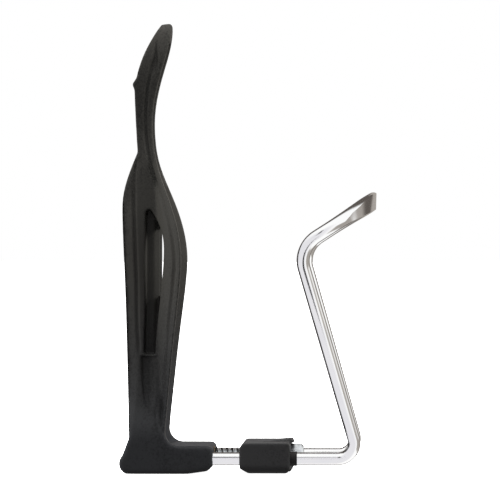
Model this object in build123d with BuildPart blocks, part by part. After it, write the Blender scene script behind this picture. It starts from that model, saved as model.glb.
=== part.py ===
"""Adjustable bottle cage: a moulded back with a foot, and a bent rod hoop on a sliding block.

The row frame: X runs from the bicycle's frame tube towards the hoop, Z is up along the bottle, and
the origin is the middle between the two frame bolt holes, on the face that lies against the tube.
All sizes are millimetres. Heights in the profiles are measured up from the underside of the foot.
"""

import os
from math import cos, radians, sin

from build123d import *

# ---- frame bolts -------------------------------------------------------------------------------
BOLT_SPACING = 64.0
BOLT_HOLE_RADIUS = 2.7
BOLT_MIDDLE_HEIGHT = 62.0
WEB_THICKNESS = 4.5

# ---- bottle ------------------------------------------------------------------------------------
BOTTLE_RADIUS = 37.0
BOTTLE_X = 47.2
BOTTLE_SPACE_TOP = 126.0

# ---- moulded back ------------------------------------------------------------------------------
FOOT_TOP = 10.5
FOOT_BOTTOM = 0.3
FOOT_FRONT = 30.4
FOOT_HALF_WIDTH = 22.3
WING_THICKNESS = 2.8
SPINE_HALF_WIDTH = 9.5
SPINE_FRONT = 10.65
CHANNEL_HALF_WIDTH = 6.0
FAR = 60.0

# ---- adjuster ----------------------------------------------------------------------------------
ROD_HEIGHT = 5.75
SCREW_HEIGHT = 6.65
TRAVEL = 9.1
END_CLEARANCE = 1.2
RUNNING_CLEARANCE = 0.05
SCREW_RADIUS = 2.0
SCREW_HOLE_RADIUS = 2.25
SCREW_LENGTH = 45.0
HEAD_RADIUS = 4.0
HEAD_LENGTH = 6.0
HEX_DEPTH = 2.5
HEX_ACROSS_FLATS = 3.0
WASHER_THICKNESS = 1.0
WASHER_HOLE_RADIUS = 2.15
INSERT_LENGTH = 10.0
INSERT_RADIUS = 3.0
INSERT_CHAMFER = 0.3
SPRING_RADIUS = 2.4
WIRE_RADIUS = 0.22
SPRING_PITCH = 1.86

# ---- sliding block -----------------------------------------------------------------------------
BLOCK_REAR = 40.0
BLOCK_FRONT = 58.5
BLOCK_TOP = 11.6
BLOCK_BOTTOM = 0.5
BLOCK_HALF_WIDTH = 22.3
SPRING_WELL_DEPTH = 9.4
SPRING_WELL_RADIUS = 2.9
HEAD_WELL_DEPTH = 2.3
HEAD_WELL_RADIUS = 4.3
CROWN_TOP = 12.5
LIP_LENGTH = 1.4
LIP_HALF_WIDTH = 8.0

# ---- hoop --------------------------------------------------------------------------------------
ROD_RADIUS = 2.375
ROD_Y = 18.0
ROD_REAR = 10.0
LOWER_CORNER_X = 83.7
UPPER_CORNER_X = 61.8
UPPER_CORNER_HEIGHT = 82.4
HOOP_HALF_WIDTH = 36.0
LIP_ANGLE = 32.8
LIP_STRAIGHT = 8.4
LIP_REACH = 23.2
LOWER_BEND_RADIUS = 6.0
UPPER_BEND_RADIUS = 10.5
NOSE_HALF_HEIGHT = 3.25
NOSE_HALF_THICKNESS = 1.75
BUSH_RADIUS = 2.65
BUSH_STAND_OUT = 2.5
PIN_RADIUS = 1.0
PIN_X = 46.0
PIN_BOTTOM = 0.8
PIN_TOP = 9.6

# ---- places that follow from the sizes ---------------------------------------------------------
HEAD_SEAT = BLOCK_FRONT - HEAD_WELL_DEPTH
HEAD_REAR = HEAD_SEAT + WASHER_THICKNESS
SCREW_TIP = HEAD_REAR - SCREW_LENGTH
SPRING_SEAT = BLOCK_REAR + SPRING_WELL_DEPTH - WASHER_THICKNESS
SPRING_GAP = 0.02
SPRING_START = FOOT_FRONT + WIRE_RADIUS + SPRING_GAP
SPRING_END = SPRING_SEAT - WIRE_RADIUS - SPRING_GAP


def up(height):
    """Z of a height above the underside of the foot."""
    return height - BOLT_MIDDLE_HEIGHT


def side(*points):
    """Points (x, height) of a side profile, for a sketch on Plane.XZ."""
    return [(x, up(height)) for x, height in points]


def along_x(x, y=0.0, height=SCREW_HEIGHT):
    """Plane across the X direction, for round features on an axis along X."""
    return Plane(origin=(x, y, up(height)), x_dir=(0, 1, 0), z_dir=(1, 0, 0))


os.makedirs("parts", exist_ok=True)

# ---- moulded back: side form -------------------------------------------------------------------
# The outline seen from the side: heel, foot, wing edge, neck, and a tongue that leans forward.
with BuildPart() as side_form:
    with BuildSketch(Plane.XZ):
        with BuildLine():
            Spline(
                *side(
                    (12.8, 15.6),
                    (14.4, 32.0),
                    (16.75, 54.0),
                    (18.65, 70.0),
                    (19.1, 79.0),
                    (18.05, 88.0),
                    (14.0, 101.2),
                    (9.95, 112.0),
                    (8.05, 123.0),
                    (8.2, 134.0),
                    (11.0, 147.0),
                    (13.8, 157.0),
                    (14.6, 162.0),
                )
            )
            Polyline(*side((14.6, 162.0), (14.7, 164.4), (14.1, 165.1), (10.9, 164.7)))
            Spline(*side((10.9, 164.7), (7.6, 159.4), (4.05, 152.0), (1.95, 144.9)))
            Polyline(*side((1.95, 144.9), (0.4, 142.6), (1.2, 140.4)))
            Spline(*side((1.2, 140.4), (1.55, 131.0), (2.35, 117.6)))
            Spline(
                *side(
                    (2.35, 117.6),
                    (-0.75, 109.6),
                    (-2.85, 101.0),
                    (-3.0, 94.0),
                    (-2.05, 70.0),
                    (-1.0, 38.0),
                    (-0.2, 13.4),
                )
            )
            Line(*side((-0.2, 13.4), (-2.6, 7.0)))
            ThreePointArc(*side((-2.6, 7.0), (-3.7, 3.0), (-1.2, FOOT_BOTTOM)))
            Polyline(*side((-1.2, FOOT_BOTTOM), (21.0, FOOT_BOTTOM), (28.2, 1.3), (FOOT_FRONT, 3.0)))
            Line(*side((FOOT_FRONT, 3.0), (FOOT_FRONT, FOOT_TOP - 2.0)))
            ThreePointArc(
                *side(
                    (FOOT_FRONT, FOOT_TOP - 2.0),
                    (FOOT_FRONT - 0.59, FOOT_TOP - 0.59),
                    (FOOT_FRONT - 2.0, FOOT_TOP),
                )
            )
            Line(*side((FOOT_FRONT - 2.0, FOOT_TOP), (17.8, FOOT_TOP)))
            ThreePointArc(*side((17.8, FOOT_TOP), (14.3, 12.0), (12.8, 15.6)))
        make_face()
    extrude(amount=FAR, both=True)

# ---- moulded back: front form ------------------------------------------------------------------
# Half widths of the foot, spine, neck and tongue, seen from the front.
with BuildPart() as front_form:
    with BuildSketch(Plane.YZ):
        with BuildLine():
            Line((0, up(0)), (FOOT_HALF_WIDTH, up(0)))
            Line((FOOT_HALF_WIDTH, up(0)), (FOOT_HALF_WIDTH, up(12.0)))
            Spline(
                (FOOT_HALF_WIDTH, up(12.0)),
                (19.0, up(24.0)),
                (15.5, up(42.0)),
                (14.0, up(70.0)),
                (13.0, up(97.0)),
                (9.6, up(117.0)),
                (9.0, up(129.0)),
                (9.8, up(146.0)),
                (8.6, up(157.0)),
                (5.2, up(163.6)),
                (0.0, up(165.2)),
                tangents=[(0, 1), (-1, 0)],
            )
            mirror(about=Plane.YZ)
        make_face()
    extrude(amount=FAR, both=True)

# ---- moulded back ------------------------------------------------------------------------------
with BuildPart() as back_body:
    # The wings are part of a ring around the bottle.
    with BuildSketch(Plane.XY.offset(up(0.0))):
        with Locations((BOTTLE_X, 0)):
            Circle(BOTTLE_RADIUS + WING_THICKNESS)
    extrude(amount=BOTTLE_SPACE_TOP)
    add(front_form.part)
    add(side_form.part, mode=Mode.INTERSECT)
    # The bottle stands on the foot.
    with BuildSketch(Plane.XY.offset(up(FOOT_TOP))):
        with Locations((BOTTLE_X, 0)):
            Circle(BOTTLE_RADIUS)
    extrude(amount=BOTTLE_SPACE_TOP - FOOT_TOP, mode=Mode.SUBTRACT)
    # Below the ring the foot is only as wide as its own side faces.
    with BuildSketch(Plane.XY.offset(up(0.0))):
        for way in (-1, 1):
            with Locations((0, way * (FOOT_HALF_WIDTH + FAR / 2))):
                Rectangle(4 * FAR, FAR)
    extrude(amount=FOOT_TOP + 4.0, mode=Mode.SUBTRACT)
    # A side window between the spine and each wing.
    for way in (-1, 1):
        with BuildSketch(Plane.XZ.offset(way * SPINE_HALF_WIDTH)):
            with BuildLine():
                Spline(*side((7.4, 96.6), (8.9, 94.2), (11.9, 87.2), (12.3, 78.0), (11.0, 64.0), (9.3, 43.6)))
                Polyline(*side((9.3, 43.6), (5.0, 43.6), (5.4, 60.0), (5.6, 95.0)))
                ThreePointArc(*side((5.6, 95.0), (6.2, 96.3), (7.4, 96.6)))
            make_face()
        extrude(amount=way * FAR, mode=Mode.SUBTRACT)
    # The spine's front ribs stay behind the bottle.
    with BuildSketch(Plane.XY.offset(up(FOOT_TOP + 10.0))):
        with Locations((SPINE_FRONT + 5.0, 0)):
            Rectangle(10.0, 2 * SPINE_HALF_WIDTH)
    extrude(amount=84.0, mode=Mode.SUBTRACT)
    # A channel down the front of the spine and tongue takes the bolt heads.
    with BuildSketch(Plane.XZ):
        with BuildLine():
            Spline(*side((WEB_THICKNESS, 104.0), (5.3, 118.0), (5.3, 134.0), (7.6, 147.0), (12.0, 158.0)))
            Polyline(
                *side((12.0, 158.0), (FAR, 158.0), (FAR, 18.0), (WEB_THICKNESS, 18.0), (WEB_THICKNESS, 104.0))
            )
        make_face()
    extrude(amount=CHANNEL_HALF_WIDTH, both=True, mode=Mode.SUBTRACT)
    # A saddle down the back takes the frame tube.
    with BuildSketch(Plane.XY.offset(up(-1.0))):
        with BuildLine():
            Polyline((0, -6), (0, 6), (-6, 14), (-6, -14), close=True)
        make_face()
    extrude(amount=113.0, mode=Mode.SUBTRACT)
    with BuildSketch(along_x(0, height=BOLT_MIDDLE_HEIGHT)):
        with GridLocations(1, BOLT_SPACING, 1, 2):
            Circle(BOLT_HOLE_RADIUS)
    extrude(amount=WEB_THICKNESS + 1.0, both=True, mode=Mode.SUBTRACT)
    # Bores of the foot: the two rods, the screw, and the threaded insert.
    with BuildSketch(along_x(FOOT_FRONT, height=ROD_HEIGHT)):
        with GridLocations(2 * ROD_Y, 1, 2, 1):
            Circle(ROD_RADIUS + RUNNING_CLEARANCE)
    extrude(amount=ROD_REAR - TRAVEL - END_CLEARANCE - FOOT_FRONT, mode=Mode.SUBTRACT)
    with BuildSketch(along_x(FOOT_FRONT)):
        Circle(SCREW_HOLE_RADIUS)
    extrude(amount=SCREW_TIP - TRAVEL - END_CLEARANCE - FOOT_FRONT, mode=Mode.SUBTRACT)
    with BuildSketch(along_x(FOOT_FRONT)):
        Circle(INSERT_RADIUS)
    extrude(amount=-INSERT_LENGTH, mode=Mode.SUBTRACT)
back_body.part.label = "back_body"
export_step(back_body.part, "parts/back_body.step")

# ---- threaded insert ---------------------------------------------------------------------------
with BuildPart() as threaded_insert:
    with BuildSketch(along_x(FOOT_FRONT)):
        Circle(INSERT_RADIUS)
    extrude(amount=-INSERT_LENGTH)
    chamfer(threaded_insert.edges().group_by(Axis.X)[-1], length=INSERT_CHAMFER)
    with BuildSketch(along_x(FOOT_FRONT)):
        Circle(SCREW_RADIUS + RUNNING_CLEARANCE)
    extrude(amount=-INSERT_LENGTH, mode=Mode.SUBTRACT)
threaded_insert.part.label = "threaded_insert"
export_step(threaded_insert.part, "parts/threaded_insert.step")

# ---- spring ------------------------------------------------------------------------------------
with BuildPart() as spring:
    with BuildLine():
        coil = Helix(
            pitch=SPRING_PITCH,
            height=SPRING_END - SPRING_START,
            radius=SPRING_RADIUS,
            center=(SPRING_START, 0, up(SCREW_HEIGHT)),
            direction=(1, 0, 0),
        )
    with BuildSketch(Plane(origin=coil @ 0, z_dir=coil % 0)):
        Circle(WIRE_RADIUS)
    sweep(path=coil, is_frenet=True)
spring.part.label = "spring"
export_step(spring.part, "parts/spring.step")


# ---- washers -----------------------------------------------------------------------------------
def washer(rear_x, outer_radius):
    """A flat washer on the screw, its rear face at rear_x."""
    with BuildPart() as ring:
        with BuildSketch(along_x(rear_x)):
            Circle(outer_radius)
            Circle(WASHER_HOLE_RADIUS, mode=Mode.SUBTRACT)
        extrude(amount=WASHER_THICKNESS)
    return ring.part


spring_washer = washer(SPRING_SEAT, SPRING_WELL_RADIUS - 0.1)
spring_washer.label = "spring_washer"
export_step(spring_washer, "parts/spring_washer.step")

head_washer = washer(HEAD_SEAT, HEAD_WELL_RADIUS - 0.2)
head_washer.label = "head_washer"
export_step(head_washer, "parts/head_washer.step")

# ---- sliding block -----------------------------------------------------------------------------
with BuildPart() as slider_block:
    with BuildSketch(Plane.XZ):
        with BuildLine():
            Polyline(
                *side(
                    (BLOCK_REAR, 2.4),
                    (BLOCK_REAR + 3.3, BLOCK_BOTTOM),
                    (BLOCK_FRONT - 1.2, BLOCK_BOTTOM),
                    (BLOCK_FRONT, 2.0),
                    (BLOCK_FRONT, BLOCK_TOP - 1.2),
                    (BLOCK_FRONT - 0.6, BLOCK_TOP),
                    (BLOCK_REAR + 1.5, BLOCK_TOP),
                    (BLOCK_REAR, BLOCK_TOP - 1.7),
                ),
                close=True,
            )
        make_face()
    extrude(amount=BLOCK_HALF_WIDTH, both=True)
    fillet(slider_block.edges().filter_by(Axis.Z), radius=0.8)
    # A low crown and two lips shelter the screw head from above and below.
    with BuildSketch(Plane.XZ):
        with BuildLine():
            Polyline(
                *side(
                    (BLOCK_REAR + 8.0, BLOCK_TOP),
                    (BLOCK_FRONT - 0.7, CROWN_TOP),
                    (BLOCK_FRONT + 0.5, CROWN_TOP),
                    (BLOCK_FRONT + LIP_LENGTH, CROWN_TOP - 1.4),
                    (BLOCK_REAR + 8.0, CROWN_TOP - 1.4),
                ),
                close=True,
            )
        make_face()
        with BuildLine():
            Polyline(
                *side(
                    (BLOCK_FRONT - 2.0, BLOCK_BOTTOM),
                    (BLOCK_FRONT - 0.2, BLOCK_BOTTOM),
                    (BLOCK_FRONT + LIP_LENGTH - 0.2, 2.4),
                    (BLOCK_FRONT - 2.0, 2.4),
                ),
                close=True,
            )
        make_face()
    extrude(amount=LIP_HALF_WIDTH, both=True)
    # Wells for the spring and the screw head, and the screw's clearance hole.
    with BuildSketch(along_x(BLOCK_REAR)):
        Circle(SPRING_WELL_RADIUS)
    extrude(amount=SPRING_WELL_DEPTH, mode=Mode.SUBTRACT)
    with BuildSketch(along_x(HEAD_SEAT)):
        Circle(HEAD_WELL_RADIUS)
    extrude(amount=HEAD_WELL_DEPTH + 5.0, mode=Mode.SUBTRACT)
    with BuildSketch(along_x(BLOCK_REAR)):
        Circle(SCREW_HOLE_RADIUS)
    extrude(amount=BLOCK_FRONT - BLOCK_REAR, mode=Mode.SUBTRACT)
    # Bores for the bushes, and blind holes from below for the pins.
    with BuildSketch(along_x(BLOCK_REAR, height=ROD_HEIGHT)):
        with GridLocations(2 * ROD_Y, 1, 2, 1):
            Circle(BUSH_RADIUS)
    extrude(amount=BLOCK_FRONT - BLOCK_REAR, mode=Mode.SUBTRACT)
    with BuildSketch(Plane.XY.offset(up(BLOCK_BOTTOM))):
        with Locations((PIN_X, -ROD_Y), (PIN_X, ROD_Y)):
            Circle(PIN_RADIUS)
    extrude(amount=PIN_TOP - BLOCK_BOTTOM, mode=Mode.SUBTRACT)
slider_block.part.label = "slider_block"
export_step(slider_block.part, "parts/slider_block.step")

# ---- rod bushes --------------------------------------------------------------------------------
with BuildPart() as rod_bushes:
    with BuildSketch(along_x(BLOCK_REAR, height=ROD_HEIGHT)):
        with GridLocations(2 * ROD_Y, 1, 2, 1):
            Circle(BUSH_RADIUS)
            Circle(ROD_RADIUS, mode=Mode.SUBTRACT)
    extrude(amount=BLOCK_FRONT - BLOCK_REAR + BUSH_STAND_OUT)
    with BuildSketch(Plane.XY.offset(up(PIN_BOTTOM))):
        with Locations((PIN_X, -ROD_Y), (PIN_X, ROD_Y)):
            Circle(PIN_RADIUS)
    extrude(amount=PIN_TOP - PIN_BOTTOM, mode=Mode.SUBTRACT)
rod_bushes.part.label = "rod_bushes"
export_step(rod_bushes.part, "parts/rod_bushes.step")

# ---- pins that lock the hoop in the block ------------------------------------------------------
with BuildPart() as hoop_pins:
    with BuildSketch(Plane.XY.offset(up(PIN_BOTTOM))):
        with Locations((PIN_X, -ROD_Y), (PIN_X, ROD_Y)):
            Circle(PIN_RADIUS)
    extrude(amount=PIN_TOP - PIN_BOTTOM)
hoop_pins.part.label = "hoop_pins"
export_step(hoop_pins.part, "parts/hoop_pins.step")

# ---- hoop --------------------------------------------------------------------------------------
# Each leg runs out of the foot, turns up and outwards, then forward into a lip around the bottle.
lip_run = (cos(radians(LIP_ANGLE)), sin(radians(LIP_ANGLE)))
lip_start_x = UPPER_CORNER_X + LIP_STRAIGHT * lip_run[0]
lip_start_height = UPPER_CORNER_HEIGHT + LIP_STRAIGHT * lip_run[1]
lip_plane = Plane(
    origin=(lip_start_x, 0, up(lip_start_height)),
    x_dir=(lip_run[0], 0, lip_run[1]),
    z_dir=(-lip_run[1], 0, lip_run[0]),
)
with BuildPart() as hoop:
    with BuildLine():
        leg = FilletPolyline(
            (ROD_REAR, -ROD_Y, up(ROD_HEIGHT)),
            (LOWER_CORNER_X, -ROD_Y, up(ROD_HEIGHT)),
            (UPPER_CORNER_X, -HOOP_HALF_WIDTH, up(UPPER_CORNER_HEIGHT)),
            (lip_start_x, -HOOP_HALF_WIDTH, up(lip_start_height)),
            radius=[LOWER_BEND_RADIUS, UPPER_BEND_RADIUS],
        )
    with BuildSketch(along_x(ROD_REAR, -ROD_Y, ROD_HEIGHT)):
        Circle(ROD_RADIUS)
    sweep(path=leg)
    with BuildLine(lip_plane):
        quarter = EllipticalCenterArc((0, 0), LIP_REACH, HOOP_HALF_WIDTH, -90, arc_size=90)
    with BuildSketch(Plane(origin=quarter @ 0, x_dir=lip_plane.z_dir, z_dir=quarter % 0)):
        Circle(ROD_RADIUS)
    with BuildSketch(Plane(origin=quarter @ 1, x_dir=(0, 0, 1), z_dir=quarter % 1)):
        Ellipse(NOSE_HALF_HEIGHT, NOSE_HALF_THICKNESS)
    sweep(path=quarter, multisection=True)
    mirror(about=Plane.XZ)
    with BuildSketch(Plane.XY.offset(up(PIN_BOTTOM))):
        with Locations((PIN_X, -ROD_Y), (PIN_X, ROD_Y)):
            Circle(PIN_RADIUS)
    extrude(amount=PIN_TOP - PIN_BOTTOM, mode=Mode.SUBTRACT)
hoop.part.label = "hoop"
export_step(hoop.part, "parts/hoop.step")

# ---- adjusting screw ---------------------------------------------------------------------------
with BuildPart() as adjusting_screw:
    with BuildSketch(along_x(HEAD_REAR)):
        Circle(SCREW_RADIUS)
    extrude(amount=-SCREW_LENGTH)
    chamfer(adjusting_screw.edges().group_by(Axis.X)[0], length=0.5)
    with BuildSketch(along_x(HEAD_REAR)):
        Circle(HEAD_RADIUS)
    extrude(amount=HEAD_LENGTH)
    chamfer(adjusting_screw.edges().group_by(Axis.X)[-1], length=0.6)
    with BuildSketch(along_x(HEAD_REAR + HEAD_LENGTH)):
        RegularPolygon(HEX_ACROSS_FLATS / 2, 6, major_radius=False)
    extrude(amount=-HEX_DEPTH, mode=Mode.SUBTRACT)
adjusting_screw.part.label = "adjusting_screw"
export_step(adjusting_screw.part, "parts/adjusting_screw.step")
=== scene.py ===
import bpy
import math
import numpy as np
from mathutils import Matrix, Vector


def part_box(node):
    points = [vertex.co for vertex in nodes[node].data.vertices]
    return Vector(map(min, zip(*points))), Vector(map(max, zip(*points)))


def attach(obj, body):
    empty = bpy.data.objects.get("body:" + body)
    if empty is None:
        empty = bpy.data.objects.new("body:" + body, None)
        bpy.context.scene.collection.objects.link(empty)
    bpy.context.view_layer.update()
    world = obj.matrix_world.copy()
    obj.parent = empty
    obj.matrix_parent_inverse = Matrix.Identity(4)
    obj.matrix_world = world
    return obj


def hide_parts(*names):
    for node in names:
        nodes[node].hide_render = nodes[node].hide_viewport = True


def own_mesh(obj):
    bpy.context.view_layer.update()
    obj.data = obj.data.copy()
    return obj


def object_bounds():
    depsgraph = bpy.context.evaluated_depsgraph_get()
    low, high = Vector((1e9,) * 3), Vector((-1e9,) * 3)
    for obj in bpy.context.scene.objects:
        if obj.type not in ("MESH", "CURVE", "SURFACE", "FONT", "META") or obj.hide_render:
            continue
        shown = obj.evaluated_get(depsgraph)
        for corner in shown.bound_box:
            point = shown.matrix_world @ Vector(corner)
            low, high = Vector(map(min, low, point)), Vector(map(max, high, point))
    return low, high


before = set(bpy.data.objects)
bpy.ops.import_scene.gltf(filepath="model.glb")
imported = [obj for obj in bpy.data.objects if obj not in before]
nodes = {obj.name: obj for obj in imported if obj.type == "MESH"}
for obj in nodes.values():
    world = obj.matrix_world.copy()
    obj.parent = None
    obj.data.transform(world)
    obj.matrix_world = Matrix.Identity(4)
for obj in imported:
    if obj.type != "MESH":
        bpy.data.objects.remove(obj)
cad_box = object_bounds()

# All lengths below are millimetres in the row frame, with heights measured up from the underside
# of the foot, and are turned into metres where a mesh is made.
MM = 0.001
UNDERSIDE = -62.0
ROD_HEIGHT = 5.75
ROD_Y = 18.0
SCREW_HEIGHT = 6.65
HALF = 0.5  # the usual weight of one round of smoothing


def to_metres(points):
    """Millimetre points (x, y, height) as metres in the row frame."""
    out = np.asarray(points, float).copy()
    out[:, 2] += UNDERSIDE
    return out * MM


def smoothstep(low, high, value):
    t = np.clip((value - low) / (high - low), 0.0, 1.0)
    return t * t * (3.0 - 2.0 * t)


def bump(value, centre, half_width):
    """A smooth bump of height 1 at centre that falls to 0 half_width away."""
    t = np.clip(np.abs(value - centre) / half_width, 0.0, 1.0)
    return (1.0 - t * t) ** 2


def through(*points):
    """A smooth curve x(height) through a few (x, height) points, lowest first."""
    xs, heights = np.array(points, float).T
    slopes = np.gradient(xs, heights)

    def value(height):
        height = np.clip(height, heights[0], heights[-1])
        i = np.clip(np.searchsorted(heights, height) - 1, 0, len(heights) - 2)
        span = heights[i + 1] - heights[i]
        t = (height - heights[i]) / span
        return (
            (1 + 2 * t) * (1 - t) ** 2 * xs[i]
            + t * (1 - t) ** 2 * span * slopes[i]
            + t * t * (3 - 2 * t) * xs[i + 1]
            - t * t * (1 - t) * span * slopes[i + 1]
        )

    return value


def quarter_round(a, b, radius):
    """Distances a and b past the centre lines of a rounded edge, moved onto its arc."""
    past = np.hypot(np.maximum(a, 0.0), np.maximum(b, 0.0))
    outside = (a > 0.0) & (b > 0.0) & (past > radius)
    scale = np.where(outside, radius / np.maximum(past, 1e-6), 1.0)
    return a * scale, b * scale


# ---- mesh helpers -----------------------------------------------------------------------------
def mesh_object(name, vertices, faces, material):
    mesh = bpy.data.meshes.new(name)
    mesh.from_pydata([tuple(v) for v in vertices], [], [tuple(int(i) for i in f) for f in faces])
    mesh.validate()
    mesh.update()
    obj = bpy.data.objects.new(name, mesh)
    bpy.context.scene.collection.objects.link(obj)
    mesh.materials.append(material)
    mesh.polygons.foreach_set("use_smooth", [True] * len(mesh.polygons))
    return obj


def grid_faces(rows, columns):
    """Quads of a grid of rows of points, each row a closed loop of columns."""
    faces = []
    for i in range(rows - 1):
        n = i + 1
        for j in range(columns):
            k = (j + 1) % columns
            faces.append((i * columns + j, i * columns + k, n * columns + k, n * columns + j))
    return faces


def fan_faces(first, columns, centre, flip):
    """Triangles that close a loop of points with a centre point."""
    faces = []
    for j in range(columns):
        k = (j + 1) % columns
        loop = (first + j, first + k, centre)
        faces.append(loop[::-1] if flip else loop)
    return faces


def revolve(name, profile, radius_at, columns, material):
    """A closed piece turned about the screw's axis, from (x, radius, kind) rings.

    radius_at shapes each ring by its kind.
    """
    angles = np.linspace(0.0, 2.0 * math.pi, columns, endpoint=False)
    vertices = []
    for x, radius, kind in profile:
        r = radius_at(radius, kind, angles, x)
        across, height = r * np.cos(angles), SCREW_HEIGHT + r * np.sin(angles)
        vertices.append(np.stack([np.full(columns, x), across, height], 1))
    rows = len(profile)
    ends = np.array([[profile[i][0], 0.0, SCREW_HEIGHT] for i in (0, -1)])
    faces = grid_faces(rows, columns)
    faces += fan_faces(0, columns, rows * columns, True)
    faces += fan_faces((rows - 1) * columns, columns, rows * columns + 1, False)
    return mesh_object(name, to_metres(np.vstack(vertices + [ends])), faces, material)


def normals_along(points, first_normal):
    """Twist-free normals along a line of points."""
    tangents = np.gradient(points, axis=0)
    tangents /= np.linalg.norm(tangents, axis=1)[:, None]
    normals = np.zeros_like(points)
    normal = np.asarray(first_normal, float)
    for i, tangent in enumerate(tangents):
        normal = normal - tangent * np.dot(normal, tangent)
        normal /= np.linalg.norm(normal)
        normals[i] = normal
    return normals


def remeshed(name, node, voxel, material):
    """A copy of a CAD node with an even mesh, for soft moulded shapes."""
    source = nodes[node]
    copy = bpy.data.objects.new(name + "_source", source.data.copy())
    bpy.context.scene.collection.objects.link(copy)
    remesh = copy.modifiers.new("even", "REMESH")
    remesh.mode = "VOXEL"
    remesh.voxel_size = voxel * MM
    remesh.use_smooth_shade = True
    depsgraph = bpy.context.evaluated_depsgraph_get()
    mesh = bpy.data.meshes.new_from_object(copy.evaluated_get(depsgraph))
    bpy.data.objects.remove(copy)
    mesh.name = name
    mesh.materials.clear()
    mesh.materials.append(material)
    obj = bpy.data.objects.new(name, mesh)
    bpy.context.scene.collection.objects.link(obj)
    return obj


def read_points(mesh):
    co = np.empty(len(mesh.vertices) * 3, np.float64)
    mesh.vertices.foreach_get("co", co)
    points = co.reshape(-1, 3) / MM
    points[:, 2] -= UNDERSIDE
    return points


def write_points(mesh, points):
    mesh.vertices.foreach_set("co", to_metres(points).astype(np.float32).ravel())
    mesh.update()


def read_normals(mesh):
    out = np.empty(len(mesh.vertices) * 3, np.float32)
    mesh.vertex_normals.foreach_get("vector", out)
    return out.reshape(-1, 3).astype(float)


def soften(mesh, points, rounds, weight):
    """Laplacian smoothing, with one weight for all points or a weight for each."""
    weight = np.broadcast_to(weight, len(points))
    edges = np.empty(len(mesh.edges) * 2, np.int32)
    mesh.edges.foreach_get("vertices", edges)
    a, b = edges.reshape(-1, 2).T
    degree = np.bincount(np.concatenate([a, b]), minlength=len(points))[:, None]
    for _ in range(rounds):
        total = np.empty_like(points)
        for axis in range(3):
            column = points[:, axis]
            total[:, axis] = np.bincount(a, column[b], len(points))
            total[:, axis] += np.bincount(b, column[a], len(points))
        points = points + weight[:, None] * (total / degree - points)
    return points


# ---- materials --------------------------------------------------------------------------------
def new_material(name):
    material = bpy.data.materials.new(name)
    material.use_nodes = True
    tree = material.node_tree
    shader = tree.nodes["Principled BSDF"]
    return material, tree, shader


def add_node(tree, kind, **values):
    node = tree.nodes.new(kind)
    for key, value in values.items():
        if key in node.inputs:
            node.inputs[key].default_value = value
        else:
            setattr(node, key, value)
    return node


def object_coordinates(tree, scale=(1.0, 1.0, 1.0)):
    coordinates = tree.nodes.new("ShaderNodeTexCoord")
    mapping = tree.nodes.new("ShaderNodeMapping")
    mapping.inputs["Scale"].default_value = scale
    tree.links.new(coordinates.outputs["Object"], mapping.inputs["Vector"])
    return mapping.outputs["Vector"]


def noise(tree, vector, scale, detail=2.0, roughness=0.5):
    node = add_node(tree, "ShaderNodeTexNoise", Scale=scale, Detail=detail, Roughness=roughness)
    tree.links.new(vector, node.inputs["Vector"])
    return node.outputs["Fac"]


def ramp(tree, value, stops):
    node = tree.nodes.new("ShaderNodeValToRGB")
    elements = node.color_ramp.elements
    while len(elements) < len(stops):
        elements.new(0.5)
    for element, (position, colour) in zip(elements, stops):
        element.position = position
        element.color = (*colour, 1.0)
    tree.links.new(value, node.inputs["Fac"])
    return node.outputs["Color"]


def remap(tree, value, low, high):
    node = add_node(tree, "ShaderNodeMapRange")
    node.inputs["To Min"].default_value = low
    node.inputs["To Max"].default_value = high
    tree.links.new(value, node.inputs["Value"])
    return node.outputs["Result"]


def bumped(tree, shader, height, strength, distance):
    node = tree.nodes.new("ShaderNodeBump")
    node.inputs["Strength"].default_value = strength
    node.inputs["Distance"].default_value = distance
    tree.links.new(height, node.inputs["Height"])
    tree.links.new(node.outputs["Normal"], shader.inputs["Normal"])


def moulded_plastic(name, cool, warm):
    """Black moulded plastic with fine grain and faint flow marks, and painted shade by height:
    darker and cooler low down, lighter and warmer above.
    """
    material, tree, shader = new_material(name)
    vector = object_coordinates(tree)
    flow = noise(tree, object_coordinates(tree, (60.0, 60.0, 18.0)), 1.0, 3.0)
    speckle = noise(tree, vector, 1500.0, 3.0, 0.6)
    # Painted shade: the base colour runs by height from the darker, cooler low colour to the
    # lighter, warmer high colour.
    split = tree.nodes.new("ShaderNodeSeparateXYZ")
    tree.links.new(vector, split.inputs["Vector"])
    shade_by_height = add_node(tree, "ShaderNodeMapRange")
    shade_by_height.inputs["From Min"].default_value = -0.05
    shade_by_height.inputs["From Max"].default_value = 0.01
    tree.links.new(split.outputs["Z"], shade_by_height.inputs["Value"])
    painted_height_shade = tree.nodes.new("ShaderNodeMix")
    painted_height_shade.data_type = "RGBA"
    painted_height_shade.inputs["A"].default_value = (*cool, 1.0)
    painted_height_shade.inputs["B"].default_value = (*warm, 1.0)
    tree.links.new(shade_by_height.outputs["Result"], painted_height_shade.inputs["Factor"])
    mottle = tree.nodes.new("ShaderNodeMix")
    mottle.data_type = "RGBA"
    mottle.blend_type = "MULTIPLY"
    mottle.inputs["Factor"].default_value = 1.0
    tree.links.new(painted_height_shade.outputs["Result"], mottle.inputs["A"])
    blend = tree.nodes.new("ShaderNodeMath")
    blend.operation = "ADD"
    tree.links.new(flow, blend.inputs[0])
    tree.links.new(speckle, blend.inputs[1])
    stops = [(0.72, (0.62, 0.62, 0.62)), (1.0, (1.32, 1.32, 1.32))]
    shade = ramp(tree, blend.outputs["Value"], stops)
    tree.links.new(shade, mottle.inputs["B"])
    tree.links.new(mottle.outputs["Result"], shader.inputs["Base Color"])
    roughness = remap(tree, noise(tree, vector, 900.0, 3.0), 0.42, 0.56)
    tree.links.new(roughness, shader.inputs["Roughness"])
    shader.inputs["Specular IOR Level"].default_value = 0.12
    bumped(tree, shader, speckle, 0.3, 0.0001)
    return material


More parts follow.
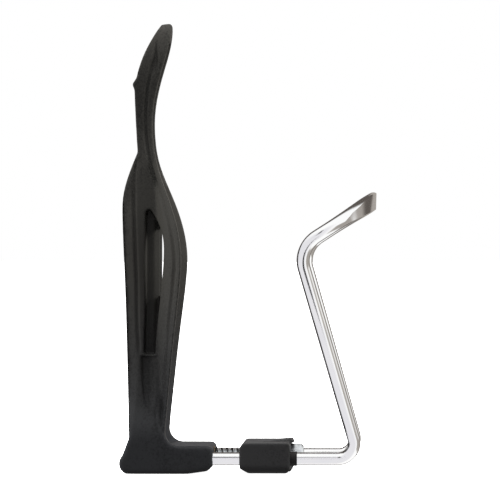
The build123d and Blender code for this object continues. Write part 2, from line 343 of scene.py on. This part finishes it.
def polished_aluminium(name):
    """Bright drawn aluminium rod, polished, with faint fine scratches and slight waviness."""
    material, tree, shader = new_material(name)
    vector = object_coordinates(tree)
    tint = noise(tree, vector, 70.0, 2.0)
    stops = [(0.3, (0.87, 0.875, 0.885)), (0.7, (0.93, 0.93, 0.925))]
    tree.links.new(ramp(tree, tint, stops), shader.inputs["Base Color"])
    shader.inputs["Metallic"].default_value = 1.0
    roughness = remap(tree, noise(tree, vector, 1400.0, 3.0), 0.09, 0.17)
    tree.links.new(roughness, shader.inputs["Roughness"])
    bumped(tree, shader, noise(tree, vector, 900.0, 2.0), 0.05, 0.00005)
    return material


def plated_steel(name, colour, rough_low, rough_high, scale):
    """Turned or rolled steel with a thin plating."""
    material, tree, shader = new_material(name)
    vector = object_coordinates(tree)
    darker = tuple(c * 0.8 for c in colour)
    mottle = noise(tree, vector, scale, 3.0)
    tree.links.new(ramp(tree, mottle, [(0.3, darker), (0.7, colour)]), shader.inputs["Base Color"])
    shader.inputs["Metallic"].default_value = 1.0
    roughness = remap(tree, noise(tree, vector, scale * 3.0, 2.0), rough_low, rough_high)
    tree.links.new(roughness, shader.inputs["Roughness"])
    bumped(tree, shader, noise(tree, vector, scale * 2.0, 2.0), 0.1, 0.00004)
    return material


# The back's two colours are painted shade: darker and cooler low down, lighter and warmer above.
plastic = moulded_plastic("moulded_plastic", (0.0112, 0.0116, 0.0126), (0.0162, 0.0155, 0.0138))
block_plastic = moulded_plastic("block_plastic", (0.0158, 0.0157, 0.0160), (0.0158, 0.0157, 0.0160))
bush_plastic = moulded_plastic("bush_plastic", (0.010, 0.009, 0.009), (0.012, 0.011, 0.011))
aluminium = polished_aluminium("polished_aluminium")
zinc = plated_steel("zinc_plated_steel", (0.83, 0.86, 0.88), 0.25, 0.42, 500.0)
black_steel = plated_steel("black_oxide_steel", (0.045, 0.044, 0.043), 0.3, 0.45, 600.0)
brass = plated_steel("turned_brass", (0.42, 0.31, 0.16), 0.3, 0.45, 500.0)

# ---- camera -----------------------------------------------------------------------------------
# Level with the middle of the cage's height and slightly to the hoop's side, from far away.
CAMERA_DISTANCE = 1614.0
CAMERA_TURN = math.radians(1.7)
VIEW_WIDTH = 184.2
LOOK_AT_X = 43.33
LOOK_AT_HEIGHT = 81.8
SENSOR_WIDTH = 36.0
look_at = Vector((LOOK_AT_X * MM, 0.0, (LOOK_AT_HEIGHT + UNDERSIDE) * MM))
camera = bpy.data.objects.new("camera", bpy.data.cameras.new("camera"))
bpy.context.scene.collection.objects.link(camera)
back_off = Vector((math.sin(CAMERA_TURN), -math.cos(CAMERA_TURN), 0.0)) * CAMERA_DISTANCE * MM
camera.location = look_at + back_off
camera.rotation_mode = "QUATERNION"
camera.rotation_quaternion = (-back_off).to_track_quat("-Z", "Y")
camera.data.sensor_width = SENSOR_WIDTH
camera.data.lens = SENSOR_WIDTH * CAMERA_DISTANCE / VIEW_WIDTH
camera.data.clip_start = 0.05
camera.data.clip_end = 30.0
bpy.context.scene.camera = camera

# ---- moulded back -----------------------------------------------------------------------------
# The side of the moulding has a groove behind the wing's front edge that runs on up the neck, a
# groove beside the rear band, a recessed facet under the window, and a side that leans in beside
# the tongue's front edge.
BOTTLE_X = 47.2
RING_RADIUS = 39.8
TONGUE_EDGE = 6.5
BORE_RADIUS = 2.47
BORE_START_X = 0.2
BORE_END_X = 31.0

front_groove = through(
    (11.4, 17.7), (13.0, 38.0), (14.4, 55.0), (16.1, 70.0), (16.6, 77.0), (15.5, 87.0),
    (11.4, 100.6), (7.5, 112.0), (5.6, 123.0), (5.4, 134.5), (7.2, 147.5), (8.4, 152.0),
)
rear_groove = through(
    (3.3, 44.0), (2.8, 51.0), (2.3, 71.0), (1.55, 92.0), (1.3, 101.0), (1.5, 112.0), (2.4, 116.0)
)
rear_crease = through((-0.5, 11.5), (0.6, 14.2), (1.8, 23.9), (2.6, 30.0), (2.6, 48.6), (0.9, 92.0))
facet_rear = through((8.7, 12.0), (8.3, 20.4), (5.55, 26.6), (4.7, 33.2), (4.1, 43.6))
facet_front = through((8.8, 21.8), (9.3, 28.0), (9.85, 33.2), (10.4, 43.0))
scoop_line = through((5.9, 143.5), (6.9, 149.7), (7.7, 154.3), (9.15, 159.9), (10.6, 163.3))


def side_detail(points, normals):
    """Facets and grooves of the moulding's two sides."""
    x, y, h = points.T
    outward = normals[:, 1] * np.sign(y)
    distance = np.hypot(x - BOTTLE_X, y)
    outer = smoothstep(0.1, 0.35, outward) * smoothstep(38.3, 39.2, distance)

    # The rear band is cut straight in from the side; the wing's round face stands through it.
    cut = 0.36 * np.maximum(rear_crease(h) - x, 0.0)
    cut = cut * smoothstep(11.0, 16.0, h) * (1 - smoothstep(96.0, 108.0, h))
    ring_y = np.sqrt(np.maximum(RING_RADIUS**2 - (BOTTLE_X - x) ** 2, 0.0))
    flat_side = smoothstep(0.1, 0.5, np.abs(y) - ring_y)
    cut = np.minimum(cut, np.maximum(np.abs(y) - ring_y, 0.0)) * flat_side * outer
    moved = points.copy()
    moved[:, 1] -= np.sign(y) * cut

    # The grooves are cut in along the surface's own direction.
    front_span = smoothstep(14.0, 19.0, h) * (1 - smoothstep(149.0, 153.0, h))
    rear_span = smoothstep(42.0, 48.0, h) * (1 - smoothstep(112.0, 116.0, h))
    groove = 0.75 * bump(x, front_groove(h), 1.0) * front_span
    groove += 0.8 * bump(x, rear_groove(h), 0.75) * rear_span
    # The facet under the window starts at a small step and slopes out towards the front.
    dip = 0.3 * np.clip(facet_front(h) - x, 0.0, 5.0) * smoothstep(-0.3, 0.3, x - facet_rear(h))
    groove += dip * smoothstep(19.0, 23.0, h) * (1 - smoothstep(42.6, 43.4, h))
    # Below the facet a short groove runs on down to the foot.
    groove += 0.35 * bump(x, 9.4, 0.5) * smoothstep(10.5, 12.0, h) * (1 - smoothstep(22.0, 25.0, h))
    moved -= normals * (groove * outer)[:, None]

    # Beside the tongue's front edge the side leans in towards the channel.
    lean = 0.6 * np.maximum(x - scoop_line(h), 0.0) * smoothstep(144.0, 153.0, h) * outer
    width = np.maximum(np.abs(moved[:, 1]) - lean, np.minimum(np.abs(moved[:, 1]), TONGUE_EDGE))
    moved[:, 1] = np.sign(y) * width
    return moved


back = remeshed("back_moulding", "back_body", 0.35, plastic)
points = read_points(back.data)
points = soften(back.data, points, 5, HALF)
write_points(back.data, points)
points = side_detail(points, read_normals(back.data))
# The outer front corners of the spine's two ribs are chamfered.
half_width = np.abs(points[:, 1])
rib = (points[:, 2] > 24.0) & (points[:, 2] < 93.0) & (half_width > 7.5) & (half_width < 9.8)
chamfered = np.minimum(half_width, 9.5 - 0.6 * np.maximum(points[:, 0] - 8.5, 0.0))
points[:, 1] = np.where(rib, np.sign(points[:, 1]) * chamfered, points[:, 1])
points = soften(back.data, points, 2, HALF)
foot_edges = smoothstep(20.4, 21.4, np.abs(points[:, 1]))
foot_edges *= 1 - smoothstep(15.0, 18.0, points[:, 2])
points = soften(back.data, points, 24, HALF * foot_edges)
# The window's front edge is cut at a low angle, so it takes more smoothing.
window_edge = smoothstep(10.0, 10.8, points[:, 0]) * (1 - smoothstep(12.8, 13.8, points[:, 0]))
window_edge *= smoothstep(44.0, 48.0, points[:, 2]) * (1 - smoothstep(90.0, 96.0, points[:, 2]))
points = soften(back.data, points, 36, HALF * window_edge)
# The two rod bores keep their full size.
from_axis = np.stack([np.abs(points[:, 1]) - ROD_Y, points[:, 2] - ROD_HEIGHT], 1)
radius = np.maximum(np.hypot(*from_axis.T), 1e-6)
tight = (radius < BORE_RADIUS) & (points[:, 0] > BORE_START_X) & (points[:, 0] < BORE_END_X)
from_axis[tight] *= (BORE_RADIUS / radius[tight])[:, None]
across = np.sign(points[:, 1]) * (ROD_Y + from_axis[:, 0])
points[:, 1] = np.where(tight, across, points[:, 1])
points[:, 2] = np.where(tight, ROD_HEIGHT + from_axis[:, 1], points[:, 2])
write_points(back.data, points)
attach(back, "back")
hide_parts("back_body")

# ---- sliding block ----------------------------------------------------------------------------
# Its bottom long edges are well rounded.
BLOCK_BOTTOM = 0.5
BLOCK_ROUND = 3.0
ROUND_START_Y = 19.3
block = remeshed("block_moulding", "slider_block", 0.3, block_plastic)
points = read_points(block.data)
reach, drop = quarter_round(
    np.abs(points[:, 1]) - ROUND_START_Y, BLOCK_BOTTOM + BLOCK_ROUND - points[:, 2], BLOCK_ROUND
)
points[:, 1] = np.sign(points[:, 1]) * (ROUND_START_Y + reach)
points[:, 2] = BLOCK_BOTTOM + BLOCK_ROUND - drop
points = soften(block.data, points, 3, HALF)
block_edges = smoothstep(19.8, 20.8, np.abs(points[:, 1]))
points = soften(block.data, points, 8, HALF * block_edges)
write_points(block.data, points)
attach(block, "slider")
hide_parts("slider_block")


# ---- hoop -------------------------------------------------------------------------------------
def rounded_line(corners, radii, step):
    """Points along straight runs whose corners are rounded with true arcs."""
    corners = np.asarray(corners, float)
    out = [corners[0]]
    for i, radius in enumerate(radii, start=1):
        before = corners[i - 1] - corners[i]
        after = corners[i + 1] - corners[i]
        before /= np.linalg.norm(before)
        after /= np.linalg.norm(after)
        half = 0.5 * math.acos(np.clip(np.dot(before, after), -1.0, 1.0))
        reach = radius / math.tan(half)
        middle = before + after
        middle /= np.linalg.norm(middle)
        centre = corners[i] + middle * radius / math.sin(half)
        start = corners[i] + before * reach - centre
        end = corners[i] + after * reach - centre
        sweep = math.pi - 2.0 * half
        count = max(4, int(radius * sweep / step))
        for k in range(count + 1):
            t = k / count
            spoke = math.sin((1 - t) * sweep) * start + math.sin(t * sweep) * end
            out.append(centre + spoke / math.sin(sweep))
    out.append(corners[-1])
    line = [out[0]]
    for p, q in zip(out[:-1], out[1:]):
        pieces = max(1, int(np.linalg.norm(q - p) / step))
        for k in range(1, pieces + 1):
            line.append(p + (q - p) * k / pieces)
    return np.array(line)


ROD_RADIUS = 2.375
NOSE_HALF_HEIGHT = 3.25
NOSE_HALF_THICKNESS = 1.75
HOOP_HALF_WIDTH = 36.0
LIP_ANGLE = math.radians(32.8)
LIP_REACH = 23.65
lip_along = np.array([math.cos(LIP_ANGLE), 0.0, math.sin(LIP_ANGLE)])
lip_across = np.array([0.0, -1.0, 0.0])
upper_corner = np.array([61.8, -HOOP_HALF_WIDTH, 82.4])
lip_start = upper_corner + 8.4 * lip_along
leg_line = rounded_line(
    [(10.0, -ROD_Y, ROD_HEIGHT), (83.7, -ROD_Y, ROD_HEIGHT), upper_corner, lip_start],
    [6.0, 10.5],
    0.4,
)
turn = np.linspace(0.0, math.pi / 2.0, 121)[1:]
lip_centre = lip_start * np.array([1.0, 0.0, 1.0])
lip_line = lip_centre + LIP_REACH * np.sin(turn)[:, None] * lip_along
lip_line += HOOP_HALF_WIDTH * np.cos(turn)[:, None] * lip_across
half_line = np.vstack([leg_line, lip_line])
half_turn = np.concatenate([np.zeros(len(leg_line)), turn])
mirror_y = np.array([1.0, -1.0, 1.0])
line = np.vstack([half_line, half_line[-2::-1] * mirror_y])
turned = np.concatenate([half_turn, half_turn[-2::-1]])
tangents = np.gradient(line, axis=0)
tangents /= np.linalg.norm(tangents, axis=1)[:, None]
leg_normals = normals_along(half_line, (0.0, 0.0, 1.0))
leg_normals = np.vstack([leg_normals, leg_normals[-2::-1] * mirror_y])
upwards = np.array([0.0, 0.0, 1.0])
# The nose is pressed flat outside: the flat starts low on each arm and grows towards the middle.
FLAT_COLUMNS = 30
ROUND_COLUMNS = 66


def spread(start, end, count):
    """Angles that crowd near both ends, so that the edges of the flat stay crisp."""
    t = np.linspace(0.0, 1.0, count, endpoint=False)
    return start + (end - start) * (0.5 - 0.5 * np.cos(math.pi * t))


rings = []
for point, tangent, normal, angle in zip(line, tangents, leg_normals, turned):
    share = smoothstep(0.15, 1.35, angle)
    guide = normal * (1.0 - share) + upwards * share
    guide = guide - tangent * np.dot(guide, tangent)
    guide /= np.linalg.norm(guide)
    outward = np.cross(tangent, guide)
    tall = ROD_RADIUS + (NOSE_HALF_HEIGHT - ROD_RADIUS) * share
    thick = ROD_RADIUS + (NOSE_HALF_THICKNESS - ROD_RADIUS) * share
    flat = smoothstep(0.2, 0.35, angle)
    growth = 63.0 * smoothstep(0.22, 0.65, angle) + 50.0 * smoothstep(0.55, 1.2, angle)
    top_edge = math.radians(148.0 - growth)
    low_edge = math.radians(153.0)
    flat_angles = spread(top_edge, low_edge, FLAT_COLUMNS)
    round_angles = spread(low_edge, top_edge + 2.0 * math.pi, ROUND_COLUMNS)
    angles = np.concatenate([flat_angles, round_angles])
    power = 2.0 / (2.0 + 0.9 * share)
    c, s = np.cos(angles), np.sin(angles)
    u = tall * np.sign(c) * np.abs(c) ** power
    v = thick * np.sign(s) * np.abs(s) ** power
    along = (angles[:FLAT_COLUMNS] - top_edge) / (low_edge - top_edge)
    flat_u = u[0] + (u[FLAT_COLUMNS] - u[0]) * along
    flat_v = v[0] + (v[FLAT_COLUMNS] - v[0]) * along
    u[:FLAT_COLUMNS] += (flat_u - u[:FLAT_COLUMNS]) * flat
    v[:FLAT_COLUMNS] += (flat_v - v[:FLAT_COLUMNS]) * flat
    rings.append(point + u[:, None] * guide + v[:, None] * outward)
SIDES = FLAT_COLUMNS + ROUND_COLUMNS
vertices = np.vstack(rings + [line[:1], line[-1:]])
faces = grid_faces(len(rings), SIDES)
faces += fan_faces(0, SIDES, len(rings) * SIDES, True)
faces += fan_faces((len(rings) - 1) * SIDES, SIDES, len(rings) * SIDES + 1, False)
hoop = mesh_object("hoop_rod", to_metres(vertices), faces, aluminium)
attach(hoop, "slider")
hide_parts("hoop")

# ---- adjusting screw --------------------------------------------------------------------------
PITCH = 0.7
HEAD_REAR = 57.2
SHANK_LENGTH = 45.0
HEAD_LENGTH = 6.0
SCREW_TIP = HEAD_REAR - SHANK_LENGTH
HEAD_FRONT = HEAD_REAR + HEAD_LENGTH


def screw_radius(radius, kind, angles, x):
    """Radii round one ring of the screw: thread, knurl, socket or plain round."""
    if kind == "thread":
        phase = (x / PITCH - angles / (2.0 * math.pi)) % 1.0
        crest = np.clip(1.35 - np.abs(phase - 0.5) * 3.4, 0.0, 1.0)
        return radius - 0.38 * (1.0 - crest)
    if kind == "knurl":
        return radius - 0.15 * (0.5 + 0.5 * np.cos(angles * 40.0)) ** 0.7
    if kind == "hex":
        sector = (angles + math.pi / 6.0) % (math.pi / 3.0) - math.pi / 6.0
        return radius / np.cos(sector)
    return np.full(len(angles), radius)


THREAD_START, THREAD_END = SCREW_TIP + 0.2, 44.0
THREAD_STEP = 0.058
THREAD_RADIUS = 1.98
SCREW_COLUMNS = 240
thread = [
    (x, min(THREAD_RADIUS, 1.5 + (x - SCREW_TIP)), "thread")
    for x in np.arange(THREAD_START, THREAD_END, THREAD_STEP)
]
screw_profile = [
    (SCREW_TIP, 1.3, "round"),
    (SCREW_TIP + 0.1, 1.45, "round"),
    *thread,
    (44.3, 1.7, "round"),
    (44.6, 1.95, "round"),
    (HEAD_REAR - 0.3, 1.95, "round"),
    (HEAD_REAR, 2.15, "round"),
    (HEAD_REAR, 3.6, "round"),
    (HEAD_REAR + 0.25, 3.85, "round"),
    (HEAD_REAR + 0.4, 4.0, "knurl"),
    (HEAD_FRONT - 0.9, 4.0, "knurl"),
    (HEAD_FRONT - 0.75, 3.85, "round"),
    (HEAD_FRONT - 0.15, 3.3, "round"),
    (HEAD_FRONT, 3.05, "round"),
    (HEAD_FRONT, 2.1, "round"),
    (HEAD_FRONT - 0.2, 1.55, "hex"),
    (HEAD_FRONT - 2.5, 1.5, "hex"),
    (HEAD_FRONT - 2.8, 0.9, "round"),
    (HEAD_FRONT - 3.0, 0.2, "round"),
]
screw = revolve("adjusting_screw_detail", screw_profile, screw_radius, SCREW_COLUMNS, zinc)
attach(screw, "screw")
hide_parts("adjusting_screw")

# ---- spring -----------------------------------------------------------------------------------
low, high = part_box("spring")
spring_start, spring_end = low.x / MM, high.x / MM
WIRE = 0.22
WIRE_SIDES = 12
COIL_RADIUS = 2.4
TURNS = 10.6
START_ANGLE = 2.1
turn_share = np.linspace(0.0, 1.0, int(TURNS * 40) + 1)
turns = turn_share * TURNS
length = spring_end - spring_start - 2.0 * WIRE
# The end turns lie close together, and the pitch opens smoothly from them.
dead_pitch = 0.5
stations = [0.0, 1.0, TURNS - 1.0, TURNS]
along = np.interp(turns, stations, [0.0, dead_pitch, length - dead_pitch, length])
kernel = np.ones(25) / 25.0
padded_along = np.concatenate([np.full(12, along[0]), along, np.full(12, along[-1])])
along = np.convolve(padded_along, kernel, "valid")
angle = START_ANGLE + turns * 2.0 * math.pi
coil_x = spring_start + WIRE + along
coil_height = SCREW_HEIGHT + COIL_RADIUS * np.sin(angle)
coil = np.stack([coil_x, COIL_RADIUS * np.cos(angle), coil_height], 1)
coil_tangents = np.gradient(coil, axis=0)
coil_tangents /= np.linalg.norm(coil_tangents, axis=1)[:, None]
radial = np.stack([np.zeros(len(coil)), np.cos(angle), np.sin(angle)], 1)
radial -= coil_tangents * np.sum(radial * coil_tangents, 1)[:, None]
radial /= np.linalg.norm(radial, axis=1)[:, None]
side = np.cross(coil_tangents, radial)
wire_angles = np.linspace(0.0, 2.0 * math.pi, WIRE_SIDES, endpoint=False)
wire_rings = [
    p + WIRE * (np.cos(wire_angles)[:, None] * r + np.sin(wire_angles)[:, None] * s)
    for p, r, s in zip(coil, radial, side)
]
vertices = np.vstack(wire_rings + [coil[:1], coil[-1:]])
count = len(wire_rings) * WIRE_SIDES
faces = grid_faces(len(wire_rings), WIRE_SIDES)
faces += fan_faces(0, WIRE_SIDES, count, True)
faces += fan_faces(count - WIRE_SIDES, WIRE_SIDES, count + 1, False)
spring = mesh_object("spring_coil", to_metres(vertices), faces, black_steel)
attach(spring, "back")
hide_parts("spring")
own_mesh(spring)

# ---- small turned and moulded pieces ------------------------------------------------------------
for name, material in (
    ("threaded_insert", brass),
    ("spring_washer", zinc),
    ("head_washer", zinc),
    ("hoop_pins", zinc),
    ("rod_bushes", bush_plastic),
):
    node = nodes[name]
    if not node.data.materials:
        node.data.materials.append(material)
    for i in range(len(node.material_slots)):
        node.material_slots[i].material = material

# ---- studio -----------------------------------------------------------------------------------
world = bpy.data.worlds.new("studio")
bpy.context.scene.world = world
world.use_nodes = True
world.node_tree.nodes["Background"].inputs["Color"].default_value = (1.0, 1.0, 1.0, 1.0)
world.node_tree.nodes["Background"].inputs["Strength"].default_value = 1.0

FLOOR_SIZE = 40.0
CLOTH_SIZE = 3.0
CLOTH_DROP = 0.0003


def level_square(name, size, height, material):
    """A level square in metres, centred on the frame's origin."""
    corners = [(-size, -size), (size, -size), (size, size), (-size, size)]
    return mesh_object(name, [(*c, height) for c in corners], [(0, 1, 2, 3)], material)


floor_z = min(corner[2] for corner in cad_box) - 0.0001
floor_material, _, floor_shader = new_material("pale_floor")
floor_shader.inputs["Roughness"].default_value = 0.9
floor_shader.inputs["Base Color"].default_value = (0.9, 0.9, 0.9, 1.0)
floor_shader.inputs["Emission Color"].default_value = (1.0, 1.0, 1.0, 1.0)
floor_shader.inputs["Emission Strength"].default_value = 1.0
floor = level_square("floor", FLOOR_SIZE, floor_z, floor_material)
floor.visible_glossy = False
floor.visible_diffuse = False

# A black cloth just under the floor, which only takes light away from below.
cloth_material, _, cloth_shader = new_material("black_cloth")
cloth_shader.inputs["Base Color"].default_value = (0.03, 0.03, 0.03, 1.0)
cloth_shader.inputs["Roughness"].default_value = 1.0
under = level_square("under_cloth", CLOTH_SIZE, floor_z - CLOTH_DROP, cloth_material)
under.visible_camera = False
under.visible_glossy = False


def glow_material(name):
    """Light whose colour comes from the mesh's own colour layer."""
    material = bpy.data.materials.new(name)
    material.use_nodes = True
    tree = material.node_tree
    tree.nodes.clear()
    output = tree.nodes.new("ShaderNodeOutputMaterial")
    glow = tree.nodes.new("ShaderNodeEmission")
    layer = tree.nodes.new("ShaderNodeVertexColor")
    layer.layer_name = "glow"
    tree.links.new(layer.outputs["Color"], glow.inputs["Color"])
    tree.links.new(glow.outputs["Emission"], output.inputs["Surface"])
    material.cycles.emission_sampling = "NONE"
    return material


def glow_object(name, vertices, faces, colours):
    obj = mesh_object(name, vertices, faces, glow_material(name))
    layer = obj.data.color_attributes.new(name="glow", type="FLOAT_COLOR", domain="POINT")
    with_alpha = np.hstack([colours, np.ones((len(colours), 1))])
    layer.data.foreach_set("color", with_alpha.astype(np.float32).ravel())
    obj.visible_camera = False
    obj.visible_diffuse = False
    obj.visible_shadow = False
    obj.visible_transmission = False
    obj.visible_volume_scatter = False


# A light tent that shows only in reflections: bright paper all round, black cloth behind the object
# except for a gap straight behind it, and warmer, darker paper low down on the hoop's side.
TENT_RADIUS = 4.0
ROWS, COLUMNS = 121, 360
elevation = np.linspace(-math.pi / 2, math.pi / 2, ROWS)[:, None]
azimuth = np.linspace(0.0, 2.0 * math.pi, COLUMNS, endpoint=False)[None, :]
directions = np.stack(
    [
        np.cos(elevation) * np.sin(azimuth),
        -np.cos(elevation) * np.cos(azimuth),
        np.sin(elevation) * np.ones_like(azimuth),
    ],
    2,
).reshape(-1, 3)
dx, dy, dz = directions.T
from_behind = np.degrees(np.arccos(np.clip(dy, -1.0, 1.0)))
to_right = np.degrees(np.arctan2(dx, -dy))
height_angle = np.degrees(np.arcsin(dz))
paper = np.array([0.86, 0.85, 0.88]) * np.ones((len(dx), 1))
bright = smoothstep(10.0, 60.0, to_right) + smoothstep(20.0, 60.0, height_angle)
paper += np.clip(bright, 0.0, 1.0)[:, None] * np.array([0.25, 0.26, 0.22])
warm = smoothstep(48.0, 62.0, to_right) * smoothstep(-40.0, -32.0, height_angle)
warm *= 1 - smoothstep(-4.0, 6.0, height_angle) * (1 - smoothstep(98.0, 116.0, to_right))
warm *= 1 - smoothstep(22.0, 30.0, height_angle)
paper += warm[:, None] * (np.array([0.40, 0.37, 0.34]) - paper)
# The cloth reaches further above and below the object than beside it.
steepness = dz / np.maximum(np.hypot(dx, dz), 1e-6)
cloth_end = 48.0 + 26.0 * smoothstep(0.3, 0.9, steepness) + 12.0 * smoothstep(0.5, 0.95, -steepness)
gap = 15.0 + 14.0 * smoothstep(0.0, 0.1, dx)
cloth = smoothstep(gap - 4.0, gap, from_behind)
cloth *= 1 - smoothstep(cloth_end - 6.0, cloth_end + 8.0, from_behind)
cloth *= 1 - 0.1 * smoothstep(10.0, 40.0, -height_angle)
paper += cloth[:, None] * (np.array([0.115, 0.10, 0.09]) - paper)
# A narrow dark flag in front of the object, a little to the left and above it.
flag = smoothstep(-13.0, -10.0, to_right) * (1 - smoothstep(-1.5, -0.2, to_right))
flag *= bump(height_angle, 26.0, 14.0)
paper += np.clip(2.5 * flag, 0.0, 1.0)[:, None] * (0.02 - paper)
faces = grid_faces(ROWS, COLUMNS)
glow_object("light_tent", directions * TENT_RADIUS, faces, paper)

# The dark edge of the table in front, seen low in the hoop's uprights.
edge_z = floor_z + 0.001
edge_corners = [
    (x, y, edge_z) for x, y in ((0.03, -0.155), (0.115, -0.155), (0.115, -0.32), (0.03, -0.32))
]
glow_object("table_edge", edge_corners, [(0, 1, 2, 3)], np.full((4, 3), 0.03))


LAMP_AIM = Vector((0.03, 0.0, 0.0))
LAMP_SIZE = 0.5


def softbox(name, place, power):
    lamp = bpy.data.lights.new(name, "AREA")
    lamp.size = LAMP_SIZE
    lamp.energy = power
    obj = bpy.data.objects.new(name, lamp)
    bpy.context.scene.collection.objects.link(obj)
    obj.location = place
    obj.rotation_mode = "QUATERNION"
    obj.rotation_quaternion = (LAMP_AIM - obj.location).to_track_quat("-Z", "Y")
    obj.visible_glossy = False


softbox("left", (-1.2, -0.06, 0.25), 34.0)
softbox("right", (1.15, -0.12, 0.6), 36.0)
softbox("top", (0.0, -0.06, 1.2), 30.0)

bpy.context.scene.view_settings.view_transform = "Standard"
